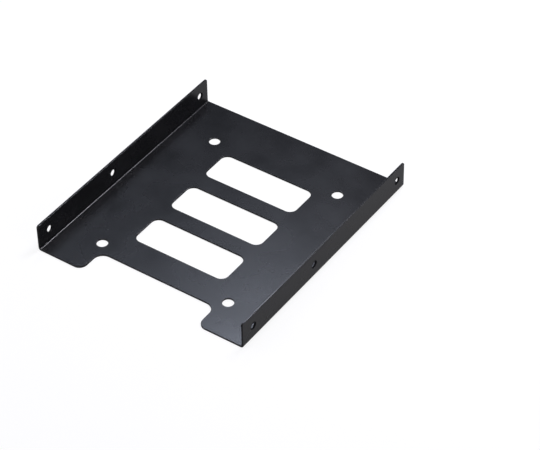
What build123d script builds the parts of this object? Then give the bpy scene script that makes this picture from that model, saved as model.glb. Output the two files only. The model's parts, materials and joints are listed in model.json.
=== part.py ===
from build123d import *
import os

# A bracket that carries a 2.5 inch drive in a 3.5 inch bay. It is one steel sheet, punched flat
# and folded into a shallow channel. X runs across it, Y from its front edge to its back edge,
# and Z up from the underside of its plate. All sizes are in millimetres.

# Hole spacings that the drive standards set
drive_hole_spacing_x = 61.72
drive_hole_spacing_y = 76.60
bay_hole_spacing = 101.60
bay_hole_middle_spacing = 41.28

# Sheet and folds
sheet_thickness = 0.80
bend_inner_radius = 0.50
bend_outer_radius = bend_inner_radius + sheet_thickness
flange_corner_radius = 1.00

# Width: the bay less a gap at each side
bay_width = 101.60
side_gap = 0.90
width = bay_width - 2 * side_gap

# Height and length: a margin of metal past the bay holes on every side
bay_hole_height = 6.50
top_margin = 6.10
front_margin = 6.90
rear_margin = 5.30
height = bay_hole_height + top_margin
length = front_margin + bay_hole_spacing + rear_margin
front = -length / 2

# Hole sizes
drive_hole_diameter = 4.80
bay_hole_diameter = 3.50

# Recess in the front edge, which leaves a tab at each side
recess_width = 56.40
recess_depth = 12.10
recess_corner_radius = 4.30
tab_corner_radius = 3.60

# Drive holes and slots, measured back from the recess
recess_to_drive_hole_gap = 4.70
recess_to_slot_gap = 13.50
slot_count = 3
slot_width = 15.80
slot_corner_radius = 3.40
slot_web_width = 8.07
drive_hole_to_slot_gap = 8.60
slot_length = drive_hole_spacing_x - 2 * drive_hole_to_slot_gap


def folded_sheet():
    """The channel before punching: its section run along Y."""
    outside = Rectangle(width, height, align=(Align.CENTER, Align.MIN))
    outside = fillet(outside.vertices().group_by(Axis.Y)[0], bend_outer_radius)
    inside = Rectangle(width - 2 * sheet_thickness, height, align=(Align.CENTER, Align.MIN))
    inside = fillet(inside.vertices().group_by(Axis.Y)[0], bend_inner_radius)
    section = outside - Pos(0, sheet_thickness) * inside
    channel = extrude(Plane.XZ * section, length / 2, both=True)
    flange_ends = channel.edges().filter_by(Axis.X).group_by(Axis.Z)[-1]
    return fillet(flange_ends, flange_corner_radius)


def recess_outline():
    """A rounded notch, centred on the front edge, so that its front half cuts air."""
    notch = RectangleRounded(recess_width, 2 * recess_depth, recess_corner_radius)
    return Pos(0, front) * notch


def slot_outlines():
    """Wide slots in a row behind the recess, with a web of metal between them."""
    pitch = slot_width + slot_web_width
    first = front + recess_depth + recess_to_slot_gap + slot_width / 2
    middle = first + pitch * (slot_count - 1) / 2
    slot = RectangleRounded(slot_length, slot_width, slot_corner_radius)
    return [Pos(0, middle) * place * slot for place in GridLocations(0, pitch, 1, slot_count)]


def drive_hole_outlines():
    """Four clearance holes under the threaded holes in the drive's bottom."""
    first = front + recess_depth + recess_to_drive_hole_gap
    middle = first + drive_hole_spacing_y / 2
    places = GridLocations(drive_hole_spacing_x, drive_hole_spacing_y, 2, 2)
    return [Pos(0, middle) * place * Circle(drive_hole_diameter / 2) for place in places]


def plate_punchings():
    """Everything that is punched out of the plate, as solids as deep as the sheet."""
    outlines = [recess_outline(), *slot_outlines(), *drive_hole_outlines()]
    return [extrude(outline, sheet_thickness) for outline in outlines]


def bay_hole_punchings():
    """Three holes in a row that go through both flanges."""
    first = front + front_margin
    row = [first, first + bay_hole_middle_spacing, first + bay_hole_spacing]
    hole = Circle(bay_hole_diameter / 2)
    return [extrude(Plane.YZ * Pos(y, bay_hole_height) * hole, width, both=True) for y in row]


def round_tabs(bracket):
    """Round the outer corner of the tab at each side of the recess."""
    upright = bracket.edges().filter_by(Axis.Z).group_by(Axis.Y)[0]
    beside_recess = upright.sort_by(lambda edge: abs(edge.center().X))[:2]
    return fillet(beside_recess, tab_corner_radius)


def make_bracket():
    bracket = folded_sheet() - plate_punchings() - bay_hole_punchings()
    return round_tabs(bracket)


bracket = make_bracket()
bracket.label = "bracket"
os.makedirs("parts", exist_ok=True)
export_step(bracket, "parts/bracket.step")
print(f"bracket {width:.2f} x {length:.2f} x {height:.2f} mm, {bracket.volume:.1f} cubic mm")
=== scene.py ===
# %% [markdown]
# A drive bay adapter bracket
#
# The real bracket is one steel sheet. It is punched flat, folded up along two long edges and
# powder coated black. Its solid comes from the CAD model, already in its place and at its real
# size, so this lesson makes no plate and no fold. It gives that solid what the eye looks for on
# folded sheet: softened edges, a satin coat with a fine grain, cut faces that are duller than
# the rest, and fine threads in the small holes. All lengths are in metres.

import json
import math

import bpy
from mathutils import Matrix, Vector


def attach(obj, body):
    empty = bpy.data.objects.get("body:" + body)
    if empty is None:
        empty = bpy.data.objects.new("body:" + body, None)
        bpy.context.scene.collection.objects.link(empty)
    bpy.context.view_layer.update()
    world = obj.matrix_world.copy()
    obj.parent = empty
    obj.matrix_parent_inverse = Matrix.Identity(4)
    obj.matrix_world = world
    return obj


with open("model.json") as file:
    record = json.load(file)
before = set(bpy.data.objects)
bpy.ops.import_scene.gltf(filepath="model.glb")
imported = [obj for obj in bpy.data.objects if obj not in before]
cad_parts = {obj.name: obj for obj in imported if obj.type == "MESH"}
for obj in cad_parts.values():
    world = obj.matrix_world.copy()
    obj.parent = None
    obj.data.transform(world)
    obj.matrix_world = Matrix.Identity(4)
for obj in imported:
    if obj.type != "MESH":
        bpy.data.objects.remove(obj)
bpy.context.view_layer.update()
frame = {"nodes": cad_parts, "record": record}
bracket = frame["nodes"]["bracket"]
scene = bpy.context.scene
MM = 0.001

# %% [markdown]
# The sizes that the frame gives
#
# The record lists every group of holes with its place and radius. Reading them from there keeps
# the threads on their holes if the model changes. The drive holes are recorded on the upper
# face of the plate, and the plate lies on z = 0, so their height is the sheet's thickness.

# %% Read the sheet and the holes
mounts = {mount["name"]: mount for mount in frame["record"]["mounts"]}
SHEET = mounts["drive_holes"]["pos_m"][2]
BORE_RADIUS = mounts["left_bay_holes"]["dims"]["hole_r_mm"] * MM


def holes_in_flange(side):
    """The three hole centres in the outer face of one flange, from front to back."""
    centres = set()
    for name in (f"{side}_bay_holes", f"{side}_bay_holes_front_pair"):
        x, y, z = mounts[name]["pos_m"]
        half = mounts[name]["dims"]["spacing_x_mm"] * MM / 2
        centres.update((x, round(y + step, 6), z) for step in (-half, half))
    return sorted(centres, key=lambda centre: centre[1])


print("sheet", round(SHEET / MM, 2), "mm, bay holes", holes_in_flange("right"))

# %% [markdown]
# The camera
#
# The viewpoint is given the way that a photographer would say it: which way round the bracket
# the camera stands, how high, how far, and through what lens. A long lens at nearly a metre
# keeps the long edges almost parallel. The camera is held a degree out of level. Its axes are
# built by hand, because a tracking constraint would level it.

# %% Place the camera
AROUND = math.radians(35.48)
ABOVE = math.radians(41.65)
LEAN = math.radians(-1.08)
DISTANCE = 0.9045
AIM = Vector((0.01812, 0.00664, 0))
SENSOR_WIDTH = 36
FOCAL_LENGTH = 149.9
NEAREST_SEEN = 0.01
FARTHEST_SEEN = 20


def make_camera():
    lens = bpy.data.cameras.new("camera")
    lens.sensor_width = SENSOR_WIDTH
    lens.lens = FOCAL_LENGTH
    lens.clip_start = NEAREST_SEEN
    lens.clip_end = FARTHEST_SEEN
    camera = bpy.data.objects.new("camera", lens)
    scene.collection.objects.link(camera)
    flat = Vector((math.sin(AROUND), -math.cos(AROUND), 0))
    back = flat * math.cos(ABOVE) + Vector((0, 0, math.sin(ABOVE)))
    level_right = Vector((0, 0, 1)).cross(back).normalized()
    level_up = back.cross(level_right)
    right = level_right * math.cos(LEAN) + level_up * math.sin(LEAN)
    up = back.cross(right)
    axes = Matrix((right, up, back)).transposed().to_4x4()
    camera.matrix_world = Matrix.Translation(AIM + back * DISTANCE) @ axes
    return camera


scene.camera = make_camera()
print("camera at", [round(part, 4) for part in scene.camera.matrix_world.translation])

# %% [markdown]
# Softened edges
#
# A punched edge is never a knife edge: the die rolls the metal over a little, and the coat
# flows round what is left. Without that round, an edge has no highlight of its own and the
# sheet looks like cut card. The CAD mesh must stay as it is, so the round comes from modifiers.
# The mesh arrives with its faces apart and cut into triangles. Weld joins them, Decimate takes
# out the cuts across flat faces, and Bevel then finds only the true edges.
#
# The folds need care too. Each is a strip of long thin faces, and its bright line runs true
# only if the shading turns evenly across them. So every face is shaded smooth, and Weighted
# Normal then lets the largest face at each corner decide, which keeps the flat faces flat.

# %% Round the edges with modifiers
EDGE_ROUND = 0.12 * MM
EDGE_SEGMENTS = 3
SAME_POINT = 0.001 * MM
SAME_PLANE = math.radians(1)
TRUE_EDGE = math.radians(40)
LARGEST_FACE_WINS = 100


def make_smooth_shading():
    """A node group that marks every face as smooth, for use as a modifier."""
    group = bpy.data.node_groups.new("shade_smooth", "GeometryNodeTree")
    group.interface.new_socket("Geometry", in_out="INPUT", socket_type="NodeSocketGeometry")
    group.interface.new_socket("Geometry", in_out="OUTPUT", socket_type="NodeSocketGeometry")
    given = group.nodes.new("NodeGroupInput")
    smooth = group.nodes.new("GeometryNodeSetShadeSmooth")
    result = group.nodes.new("NodeGroupOutput")
    group.links.new(given.outputs["Geometry"], smooth.inputs["Geometry"])
    group.links.new(smooth.outputs["Geometry"], result.inputs["Geometry"])
    return group


def soften_edges(piece):
    weld = piece.modifiers.new("join_faces", "WELD")
    weld.merge_threshold = SAME_POINT
    flats = piece.modifiers.new("merge_flat_faces", "DECIMATE")
    flats.decimate_type = "DISSOLVE"
    flats.angle_limit = SAME_PLANE
    rounds = piece.modifiers.new("round_edges", "BEVEL")
    rounds.width = EDGE_ROUND
    rounds.segments = EDGE_SEGMENTS
    rounds.limit_method = "ANGLE"
    rounds.angle_limit = TRUE_EDGE
    rounds.use_clamp_overlap = False
    rounds.loop_slide = False
    shading = piece.modifiers.new("shade_smooth", "NODES")
    shading.node_group = make_smooth_shading()
    normals = piece.modifiers.new("normals_from_large_faces", "WEIGHTED_NORMAL")
    normals.weight = LARGEST_FACE_WINS


soften_edges(bracket)
depsgraph = bpy.context.evaluated_depsgraph_get()
print("faces with rounded edges", len(bracket.evaluated_get(depsgraph).data.polygons))

# %% [markdown]
# Threads in the bay holes
#
# Each small hole is tapped straight into its flange, with no collar. The pitch and depth of the
# thread are the number 6 size with 32 turns to the inch, and the sheet is hardly thicker than
# one turn. A profile swept up a helix would need its ends cut off, so the ridge is written as a
# formula instead: at each angle round the hole and each depth in the sheet, how far does the
# crest stand out? A short chamfer ends it at both faces, and its root is sunk a hair into the
# metal, so that only the ridge shows. A tap starts each hole at an angle of its own, and in so
# thin a sheet that angle decides the outline of the light that comes through.

# %% Cut a thread into each bay hole
THREAD_PITCH = 25.4 / 32 * MM
THREAD_DEPTH = 0.43 * MM
THREAD_ROOT = 0.02 * MM
THREAD_BACKING = 0.12 * MM
THREAD_END = 0.03 * MM
THREAD_CHAMFER = 0.05 * MM
THREAD_BACK_INSET = 1.5 * EDGE_ROUND
CREST_SHARE = 0.125
ROOT_SHARE = 0.25
AROUND_STEPS = 72
DEPTH_STEPS = 28


def ridge(turn):
    """How far the thread stands out at a place in its pitch, from 0 at the root to 1."""
    from_crest = abs((turn + 0.5) % 1 - 0.5)
    flank = (1 - CREST_SHARE - ROOT_SHARE) / 2
    return min(1, max(0, 1 - (from_crest - CREST_SHARE / 2) / flank))


def fade(depth):
    """1 inside the sheet, falling to 0 over the short chamfer at each face."""
    room = min(depth, SHEET - depth) - THREAD_END
    share = min(1, max(0, room / THREAD_CHAMFER))
    return share * share * (3 - 2 * share)


def thread_radius(angle, depth, start):
    turn = depth / THREAD_PITCH - (angle - start) / math.tau
    height = ridge(turn) * fade(depth)
    return BORE_RADIUS + THREAD_ROOT - height * (THREAD_DEPTH + THREAD_ROOT)


def make_thread(name, centre, start):
    """A thin threaded ring inside one hole. Its depth runs in from the flange's outer face."""
    inward = -math.copysign(1, centre[0])
    span = SHEET - 2 * THREAD_END
    depths = [THREAD_END + span * step / DEPTH_STEPS for step in range(DEPTH_STEPS + 1)]
    angles = [math.tau * step / AROUND_STEPS for step in range(AROUND_STEPS)]

    def point(angle, depth, radius):
        x = centre[0] + inward * depth
        return (x, centre[1] + radius * math.cos(angle), centre[2] + radius * math.sin(angle))

    rows = [[point(a, d, thread_radius(a, d, start)) for a in angles] for d in depths]
    backing = BORE_RADIUS + THREAD_BACKING
    rows.append([point(a, SHEET - THREAD_BACK_INSET, backing) for a in angles])
    rows.append([point(a, THREAD_BACK_INSET, backing) for a in angles])
    points = [place for row in rows for place in row]
    faces = []
    for row in range(len(rows)):
        for column in range(AROUND_STEPS):
            here = row * AROUND_STEPS
            there = (row + 1) % len(rows) * AROUND_STEPS
            beside = (column + 1) % AROUND_STEPS
            corners = (here + column, there + column, there + beside, here + beside)
            faces.append(corners if inward < 0 else corners[::-1])
    mesh = bpy.data.meshes.new(name)
    mesh.from_pydata(points, [], faces)
    mesh.shade_smooth()
    thread = bpy.data.objects.new(name, mesh)
    scene.collection.objects.link(thread)
    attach(thread, "root")
    return thread


START_DEGREES = {"left": (325, 330, 320), "right": (60, 80, 45)}
ROW = ("front", "middle", "rear")
threads = []
for side, starts in START_DEGREES.items():
    for place, centre, start in zip(ROW, holes_in_flange(side), starts):
        threads.append(make_thread(f"thread_{side}_{place}", centre, math.radians(start)))
print(len(threads), "threads of", len(threads[0].data.polygons), "faces each")

# %% [markdown]
# Grain of the coat, as a node group
#
# Powder is sprayed on dry and melts in an oven. It never flows out quite flat, so it keeps soft
# ripples about a millimetre across, known as orange peel, with a much finer tooth on top. Both
# are bumps, far too low to model. They come from two noises of the object's own coordinates,
# so that they stay put from every side. The group gives out a height for the Bump node and a
# cloud mask for slow changes of colour and gloss. The plate and the threads both use it.

# %% Build the grain group


def add_socket(group, name, kind, way, value=None):
    socket = group.interface.new_socket(name, in_out=way, socket_type=kind)
    if value is not None:
        socket.default_value = value
    return socket


def make_grain_group():
    group = bpy.data.node_groups.new("powder_grain", "ShaderNodeTree")
    add_socket(group, "Ripples per metre", "NodeSocketFloat", "INPUT", 900)
    add_socket(group, "Tooth per metre", "NodeSocketFloat", "INPUT", 6500)
    add_socket(group, "Tooth share", "NodeSocketFloat", "INPUT", 0.25)
    add_socket(group, "Clouds per metre", "NodeSocketFloat", "INPUT", 60)
    add_socket(group, "Height", "NodeSocketFloat", "OUTPUT")
    add_socket(group, "Clouds", "NodeSocketFloat", "OUTPUT")
    nodes, links = group.nodes, group.links
    given = nodes.new("NodeGroupInput")
    result = nodes.new("NodeGroupOutput")
    place = nodes.new("ShaderNodeTexCoord")

    def noise(scale_input, detail):
        texture = nodes.new("ShaderNodeTexNoise")
        texture.inputs["Detail"].default_value = detail
        links.new(place.outputs["Object"], texture.inputs["Vector"])
        links.new(given.outputs[scale_input], texture.inputs["Scale"])
        return texture.outputs["Fac"]

    ripples = noise("Ripples per metre", 1)
    tooth = noise("Tooth per metre", 2)
    clouds = noise("Clouds per metre", 3)
    height = nodes.new("ShaderNodeMath")
    height.operation = "MULTIPLY_ADD"
    links.new(tooth, height.inputs[0])
    links.new(given.outputs["Tooth share"], height.inputs[1])
    links.new(ripples, height.inputs[2])
    links.new(height.outputs["Value"], result.inputs["Height"])
    links.new(clouds, result.inputs["Clouds"])
    return group


grain_group = make_grain_group()
print("grain group gives", [item.name for item in grain_group.interface.items_tree])

# %% [markdown]
# Thin coat and painted highlight on the edges, as a node group
#
# Melting powder draws back from a corner, so the coat is thinnest there, and handling rubs
# those corners first. The Bevel node finds them: close to an edge its normal leans away from
# the face's own, and their dot product falls below one. The group turns that into a mask,
# breaks it up with noise, and leaves what the mask does to each material. It is kept faint,
# because this coat is new and shows no bare metal. Where a coat lightens its edges by this
# mask, that is partly the thin coat and partly a painted highlight along the rounded edges.

# %% Build the edge group
NO_LEAN = 0.98
FULL_LEAN = 0.80
PATCH_LOW = 0.35
PATCH_HIGH = 0.65
LEAST_PATCH = 0.35


def make_edge_group():
    group = bpy.data.node_groups.new("thin_coat_and_painted_highlight_on_edges", "ShaderNodeTree")
    add_socket(group, "Reach", "NodeSocketFloat", "INPUT", 0.6 * MM)
    add_socket(group, "Patches per metre", "NodeSocketFloat", "INPUT", 250)
    add_socket(group, "Edge", "NodeSocketFloat", "OUTPUT")
    nodes, links = group.nodes, group.links
    given = nodes.new("NodeGroupInput")
    result = nodes.new("NodeGroupOutput")
    place = nodes.new("ShaderNodeTexCoord")
    face = nodes.new("ShaderNodeNewGeometry")
    rounded = nodes.new("ShaderNodeBevel")
    rounded.samples = 4
    links.new(given.outputs["Reach"], rounded.inputs["Radius"])
    match = nodes.new("ShaderNodeVectorMath")
    match.operation = "DOT_PRODUCT"
    links.new(rounded.outputs["Normal"], match.inputs[0])
    links.new(face.outputs["Normal"], match.inputs[1])
    lean = nodes.new("ShaderNodeMapRange")
    lean.inputs["From Min"].default_value = NO_LEAN
    lean.inputs["From Max"].default_value = FULL_LEAN
    links.new(match.outputs["Value"], lean.inputs["Value"])
    patches = nodes.new("ShaderNodeTexNoise")
    links.new(place.outputs["Object"], patches.inputs["Vector"])
    links.new(given.outputs["Patches per metre"], patches.inputs["Scale"])
    broken = nodes.new("ShaderNodeMapRange")
    broken.inputs["From Min"].default_value = PATCH_LOW
    broken.inputs["From Max"].default_value = PATCH_HIGH
    broken.inputs["To Min"].default_value = LEAST_PATCH
    links.new(patches.outputs["Fac"], broken.inputs["Value"])
    both = nodes.new("ShaderNodeMath")
    both.operation = "MULTIPLY"
    links.new(lean.outputs["Result"], both.inputs[0])
    links.new(broken.outputs["Result"], both.inputs[1])
    links.new(both.outputs["Value"], result.inputs["Edge"])
    return group


edge_group = make_edge_group()
print("edge group gives", [item.name for item in edge_group.interface.items_tree])

# %% [markdown]
# Cut faces, as a node group
#
# A punch cuts the sheet part of the way and tears the rest. The coat lies on that torn band
# as a thin, dull skin, so the walls of the slots and holes and the ends of the flanges are
# rougher than the rolled faces. They are also coloured darker, which is painted shade.
# Painting them by hand would tie the look to one mesh, so the group finds them by their
# direction. A wall of the plate does not face up or down, and an end of a flange faces front
# or back. The folds are left out, by their distance from the middle.

# %% Build the cut face group
END_STARTS = 0.6
END_FULL = 0.9
WALL_STARTS = 0.8
WALL_FULL = 0.4


def make_cut_group():
    group = bpy.data.node_groups.new("cut_faces", "ShaderNodeTree")
    add_socket(group, "Plate half width", "NodeSocketFloat", "INPUT", 47 * MM)
    add_socket(group, "Plate top", "NodeSocketFloat", "INPUT", SHEET)
    add_socket(group, "Cut", "NodeSocketFloat", "OUTPUT")
    nodes, links = group.nodes, group.links
    given = nodes.new("NodeGroupInput")
    result = nodes.new("NodeGroupOutput")
    source = nodes.new("ShaderNodeTexCoord")
    place = nodes.new("ShaderNodeSeparateXYZ")
    links.new(source.outputs["Object"], place.inputs["Vector"])
    facing = nodes.new("ShaderNodeSeparateXYZ")
    links.new(source.outputs["Normal"], facing.inputs["Vector"])

    def math_node(operation, first, second=None):
        node = nodes.new("ShaderNodeMath")
        node.operation = operation
        for socket, value in zip(node.inputs, (first, second)):
            if isinstance(value, (int, float)):
                socket.default_value = value
            elif value is not None:
                links.new(value, socket)
        return node.outputs["Value"]

    def ramp(value, low, high):
        node = nodes.new("ShaderNodeMapRange")
        node.inputs["From Min"].default_value = low
        node.inputs["From Max"].default_value = high
        links.new(value, node.inputs["Value"])
        return node.outputs["Result"]

    flange_end = ramp(math_node("ABSOLUTE", facing.outputs["Y"]), END_STARTS, END_FULL)
    upright = ramp(math_node("ABSOLUTE", facing.outputs["Z"]), WALL_STARTS, WALL_FULL)
    off_centre = math_node("ABSOLUTE", place.outputs["X"])
    inside = math_node("LESS_THAN", off_centre, given.outputs["Plate half width"])
    low = math_node("LESS_THAN", place.outputs["Z"], given.outputs["Plate top"])
    plate_wall = math_node("MULTIPLY", upright, math_node("MULTIPLY", inside, low))
    links.new(math_node("MAXIMUM", flange_end, plate_wall), result.inputs["Cut"])
    return group


cut_group = make_cut_group()
print("cut face group gives", [item.name for item in cut_group.interface.items_tree])

# %% [markdown]
# The powder coat
#
# A satin black coat is two things at once: a nearly black body, and a resin skin that mirrors
# the room softly. Principled's plain specular does both, so no second coat layer is needed.
# What makes it read as powder and not as plastic is that nothing is quite even: the clouds
# shift its colour and gloss by a few percent, the grain tilts the reflection, the edges are a
# shade greyer and smoother, and the cut faces are dull. The greyer edges are partly a thin coat
# and partly a painted highlight, and the cut faces are also darker, as painted shade. Little
# powder reaches down into the threads, so they get the same material again, drier and darker,
# with a finer and rougher grain; their darker colour is partly that thin dry coat and partly
# painted shade in the holes. The threads' specular level is lower too, because a dusty groove
# mirrors hardly anything.

# %% Mix the powder coat
COAT_BLACK = (0.0066, 0.0068, 0.0077, 1)
COAT_BLACK_CLOUD = (0.0090, 0.0092, 0.0104, 1)
# Lighter than the coat: partly a thin coat, partly a painted highlight along the rounded edges.
COAT_EDGE_AND_HIGHLIGHT = (0.035, 0.0355, 0.038, 1)
# Darker than the coat: partly a thin dry coat, partly painted shade in the holes.
COAT_AND_SHADE_IN_THREAD = (0.004, 0.004, 0.0045, 1)
# Darker than the coat on the cut faces: painted shade. Their dullness comes from the roughness.
DULL_COAT_AND_SHADE_ON_CUT = (0.003, 0.003, 0.0034, 1)
ROUGHNESS_ON_CUT = 0.75
NOISE_LOW = 0.3
NOISE_HIGH = 0.7


def group_node(nodes, group, **values):
    """Place a group in a material, with values of its own. Tooth_share sets Tooth share."""
    node = nodes.new("ShaderNodeGroup")
    node.node_tree = group
    for name, value in values.items():
        node.inputs[name.replace("_", " ")].default_value = value
    return node


def blend_colours(nodes, links, mask, low, high):
    """A Mix node between two colours, or between a colour and another node's colour."""
    mix = nodes.new("ShaderNodeMix")
    mix.data_type = "RGBA"
    links.new(mask, mix.inputs["Factor"])
    for socket, colour in ((mix.inputs["A"], low), (mix.inputs["B"], high)):
        if isinstance(colour, tuple):
            socket.default_value = colour
        else:
            links.new(colour, socket)
    return mix.outputs["Result"]


def spread(nodes, links, value, low, high):
    """A Map Range node that takes noise, which keeps near one half, out to low and high."""
    ranged = nodes.new("ShaderNodeMapRange")
    ranged.inputs["From Min"].default_value = NOISE_LOW
    ranged.inputs["From Max"].default_value = NOISE_HIGH
    ranged.inputs["To Min"].default_value = low
    ranged.inputs["To Max"].default_value = high
    links.new(value, ranged.inputs["Value"])
    return ranged.outputs["Result"]


EDGE_SMOOTHER = -0.04
GLOSS_SPREAD = 0.03


def make_powder_coat(name, body, cloud, edge, roughness, specular, bump_height, ripples,
                     tooth_share, edge_reach):
    material = bpy.data.materials.new(name)
    material.use_nodes = True
    nodes, links = material.node_tree.nodes, material.node_tree.links
    shader = nodes["Principled BSDF"]
    shader.inputs["Specular IOR Level"].default_value = specular
    grain = group_node(nodes, grain_group, Ripples_per_metre=ripples, Tooth_share=tooth_share)
    edges = group_node(nodes, edge_group, Reach=edge_reach)
    clouds = spread(nodes, links, grain.outputs["Clouds"], 0, 1)
    face = blend_colours(nodes, links, clouds, body, cloud)
    # The edge mask lightens the colour: a thin coat and a painted highlight together.
    colour = blend_colours(nodes, links, edges.outputs["Edge"], face, edge)
    cut = group_node(nodes, cut_group).outputs["Cut"]
    # The cut mask darkens the colour of walls and flange ends: painted shade.
    links.new(blend_colours(nodes, links, cut, colour, DULL_COAT_AND_SHADE_ON_CUT), shader.inputs["Base Color"])
    low, high = roughness - GLOSS_SPREAD, roughness + GLOSS_SPREAD
    gloss = spread(nodes, links, grain.outputs["Clouds"], low, high)
    smoother = nodes.new("ShaderNodeMath")
    smoother.operation = "MULTIPLY_ADD"
    smoother.inputs[1].default_value = EDGE_SMOOTHER
    links.new(edges.outputs["Edge"], smoother.inputs[0])
    links.new(gloss, smoother.inputs[2])
    duller = nodes.new("ShaderNodeMix")
    links.new(cut, duller.inputs["Factor"])
    links.new(smoother.outputs["Value"], duller.inputs["A"])
    duller.inputs["B"].default_value = ROUGHNESS_ON_CUT
    links.new(duller.outputs["Result"], shader.inputs["Roughness"])
    bump = nodes.new("ShaderNodeBump")
    bump.inputs["Strength"].default_value = 1
    bump.inputs["Distance"].default_value = bump_height
    links.new(grain.outputs["Height"], bump.inputs["Height"])
    links.new(bump.outputs["Normal"], shader.inputs["Normal"])
    return material


coat = make_powder_coat("satin_black_powder_coat", COAT_BLACK, COAT_BLACK_CLOUD, COAT_EDGE_AND_HIGHLIGHT,
                        roughness=0.27, specular=0.5, bump_height=0.006 * MM,
                        ripples=900, tooth_share=0.25, edge_reach=0.6 * MM)
# The threads' darker colour is partly a thin dry coat and partly painted shade in the holes.
dry_coat_and_shade = make_powder_coat("dry_coat_and_shade_in_threads", COAT_AND_SHADE_IN_THREAD, COAT_BLACK, COAT_BLACK,
                            roughness=0.6, specular=0.1, bump_height=0.010 * MM,
                            ripples=2000, tooth_share=0.6, edge_reach=0.2 * MM)
bracket.data.materials.clear()
bracket.data.materials.append(coat)
for thread in threads:
    thread.data.materials.append(dry_coat_and_shade)
print("coat nodes", len(coat.node_tree.nodes))

# %% [markdown]
# The floor
#
# The bracket lies on a plain sweep that the camera sees as pure white. Lighting a floor to
# white takes lamps that would also grey the black coat, so the lamps give the floor only part
# of its brightness. It adds a glow of its own, for camera rays, and a share of that glow for
# reflected and refracted rays. The lit part still carries the soft shadow of the bracket.

# %% Lay the floor
FLOOR_WHITE = 0.2
FLOOR_GLOW = 0.84
REFLECTED_GLOW = 0.25
FLOOR_HALF = 4.0
FLOOR_GAP = 0.02 * MM


def seen_directly(nodes, links):
    """1 for camera rays, a share of it for reflected and refracted ones, and 0 for the rest."""
    path = nodes.new("ShaderNodeLightPath")
    total = path.outputs["Is Camera Ray"]
    for name in ("Is Glossy Ray", "Is Transmission Ray"):
        share = nodes.new("ShaderNodeMath")
        share.operation = "MULTIPLY_ADD"
        share.inputs[1].default_value = REFLECTED_GLOW
        links.new(path.outputs[name], share.inputs[0])
        links.new(total, share.inputs[2])
        total = share.outputs["Value"]
    return total


def make_floor():
    half = FLOOR_HALF
    mesh = bpy.data.meshes.new("floor")
    corners = [(-half, -half), (half, -half), (half, half), (-half, half)]
    mesh.from_pydata([(x, y, -FLOOR_GAP) for x, y in corners], [], [(0, 1, 2, 3)])
    floor = bpy.data.objects.new("floor", mesh)
    scene.collection.objects.link(floor)
    material = bpy.data.materials.new("white_sweep")
    material.use_nodes = True
    nodes, links = material.node_tree.nodes, material.node_tree.links
    shader = nodes["Principled BSDF"]
    shader.inputs["Base Color"].default_value = (FLOOR_WHITE, FLOOR_WHITE, FLOOR_WHITE, 1)
    shader.inputs["Roughness"].default_value = 1
    shader.inputs["Specular IOR Level"].default_value = 0
    shader.inputs["Emission Color"].default_value = (1, 1, 1, 1)
    glow = nodes.new("ShaderNodeMath")
    glow.operation = "MULTIPLY"
    glow.inputs[1].default_value = FLOOR_GLOW
    links.new(seen_directly(nodes, links), glow.inputs[0])
    links.new(glow.outputs["Value"], shader.inputs["Emission Strength"])
    mesh.materials.append(material)
    return floor


floor = make_floor()
print("floor reaches", FLOOR_HALF, "m each way")

# %% [markdown]
# The lamps
#
# A glossy black object shows lamps, and hardly any light of its own. So each lamp is placed
# where one face mirrors it towards the camera, and its brightness is read as paint: 1 is white.
#
# - Glow: the plate mirrors a small bright box behind the left of the bracket, so its near right
#   corner is light and the tone falls off towards the left flange. A wing beside the box and a
#   dim lamp behind it stretch that fall. The box and its wing are cool in colour.
# - Edge: a fold or a rounded edge turns through many directions and mirrors a lamp as a thin
#   line. Two boxes behind the middle draw the line in the left fold and on the right flange, and
#   a dim strip at their right carries it on to the back.
# - Fill: a key at the front left and a weaker lamp at the right light the floor, which the
#   outer face of the right flange mirrors.
# - Panels: wide dim boxes low on each side and one overhead show nothing in the main view, but
#   give the plate a tone from every other side.

# %% Hang the lamps
FILL = 0.015


def make_world():
    world = bpy.data.worlds.new("studio")
    scene.world = world
    world.use_nodes = True
    nodes, links = world.node_tree.nodes, world.node_tree.links
    background = nodes["Background"]
    background.inputs["Color"].default_value = (1, 1, 1, 1)
    path = nodes.new("ShaderNodeLightPath")
    strength = nodes.new("ShaderNodeMapRange")
    strength.inputs["To Min"].default_value = FILL
    strength.inputs["To Max"].default_value = 1
    links.new(path.outputs["Is Camera Ray"], strength.inputs["Value"])
    links.new(strength.outputs["Result"], background.inputs["Strength"])


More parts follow.
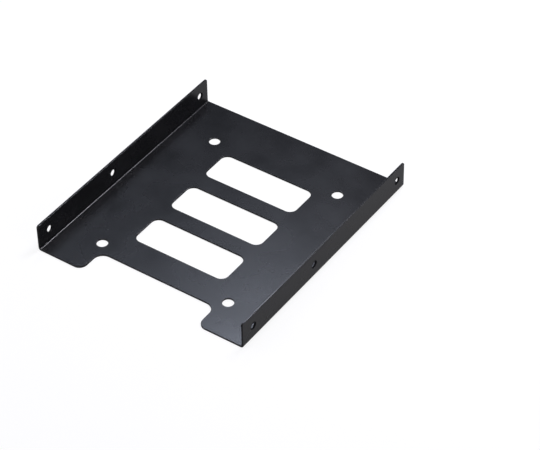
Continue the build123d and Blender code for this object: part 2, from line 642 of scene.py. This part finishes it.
def make_soft_box(name, centre, towards, width, depth, brightness, colour=(1, 1, 1)):
    """A rectangular lamp. Its brightness is how bright its face looks, where 1 is white."""
    data = bpy.data.lights.new(name, "AREA")
    data.shape = "RECTANGLE"
    data.size = width
    data.size_y = depth
    data.energy = brightness * math.pi * width * depth
    data.color = colour
    lamp = bpy.data.objects.new(name, data)
    scene.collection.objects.link(lamp)
    lamp.location = centre
    lamp.rotation_mode = "QUATERNION"
    lamp.rotation_quaternion = (Vector(towards) - Vector(centre)).to_track_quat("-Z", "Y")
    lamp.visible_camera = False
    return lamp


make_world()
COOL = (0.92, 1.0, 1.2)
PLAIN = (1.0, 0.99, 1.1)
MIDDLE = (0, 0, 0)

# name, centre, point it faces or None for straight down, width, depth, brightness, colour
LAMPS = (
    ("glow_box", (-0.202, 0.314, 0.5), None, 0.082, 0.064, 25.0, COOL),
    ("glow_wing", (-0.295, 0.265, 0.5), None, 0.100, 0.060, 7.0, COOL),
    ("glow_back", (-0.22, 0.44, 0.5), None, 0.10, 0.16, 0.4, PLAIN),
    ("edge_light", (0.06, 0.265, 0.5), None, 0.18, 0.07, 40.0, PLAIN),
    ("edge_light_back", (0.06, 0.36, 0.5), None, 0.18, 0.12, 9.0, PLAIN),
    ("right_strip", (0.186, 0.6, 0.5), None, 0.04, 0.38, 2.0, PLAIN),
    ("right_fill", (1.0, -0.3, 0.7), MIDDLE, 0.6, 0.6, 1.5, PLAIN),
    ("front_key", (-0.9, -0.5, 0.8), MIDDLE, 1.1, 0.8, 1.0, PLAIN),
    ("front_panel", (0, -1.5, 0.5), MIDDLE, 1.6, 0.8, 0.8, PLAIN),
    ("front_right_panel", (0.9, -0.9, 0.7), MIDDLE, 0.9, 0.5, 0.8, PLAIN),
    ("left_panel", (-1.5, 0, 0.35), MIDDLE, 1.4, 0.5, 0.8, PLAIN),
    ("right_panel", (1.5, 0, 0.35), MIDDLE, 1.4, 0.5, 0.8, PLAIN),
    ("back_panel", (0, 1.5, 0.30), MIDDLE, 1.2, 0.4, 0.8, PLAIN),
    ("top_panel", (0, -0.1, 1.6), None, 0.9, 0.7, 1.4, PLAIN),
)
for name, centre, towards, width, depth, brightness, colour in LAMPS:
    straight_down = (centre[0], centre[1], 0)
    make_soft_box(name, centre, towards or straight_down, width, depth, brightness, colour)

# %% [markdown]
# Finishing
#
# The picture is shown as it is, with no filmic curve.

# %% Finish
scene.view_settings.view_transform = "Standard"
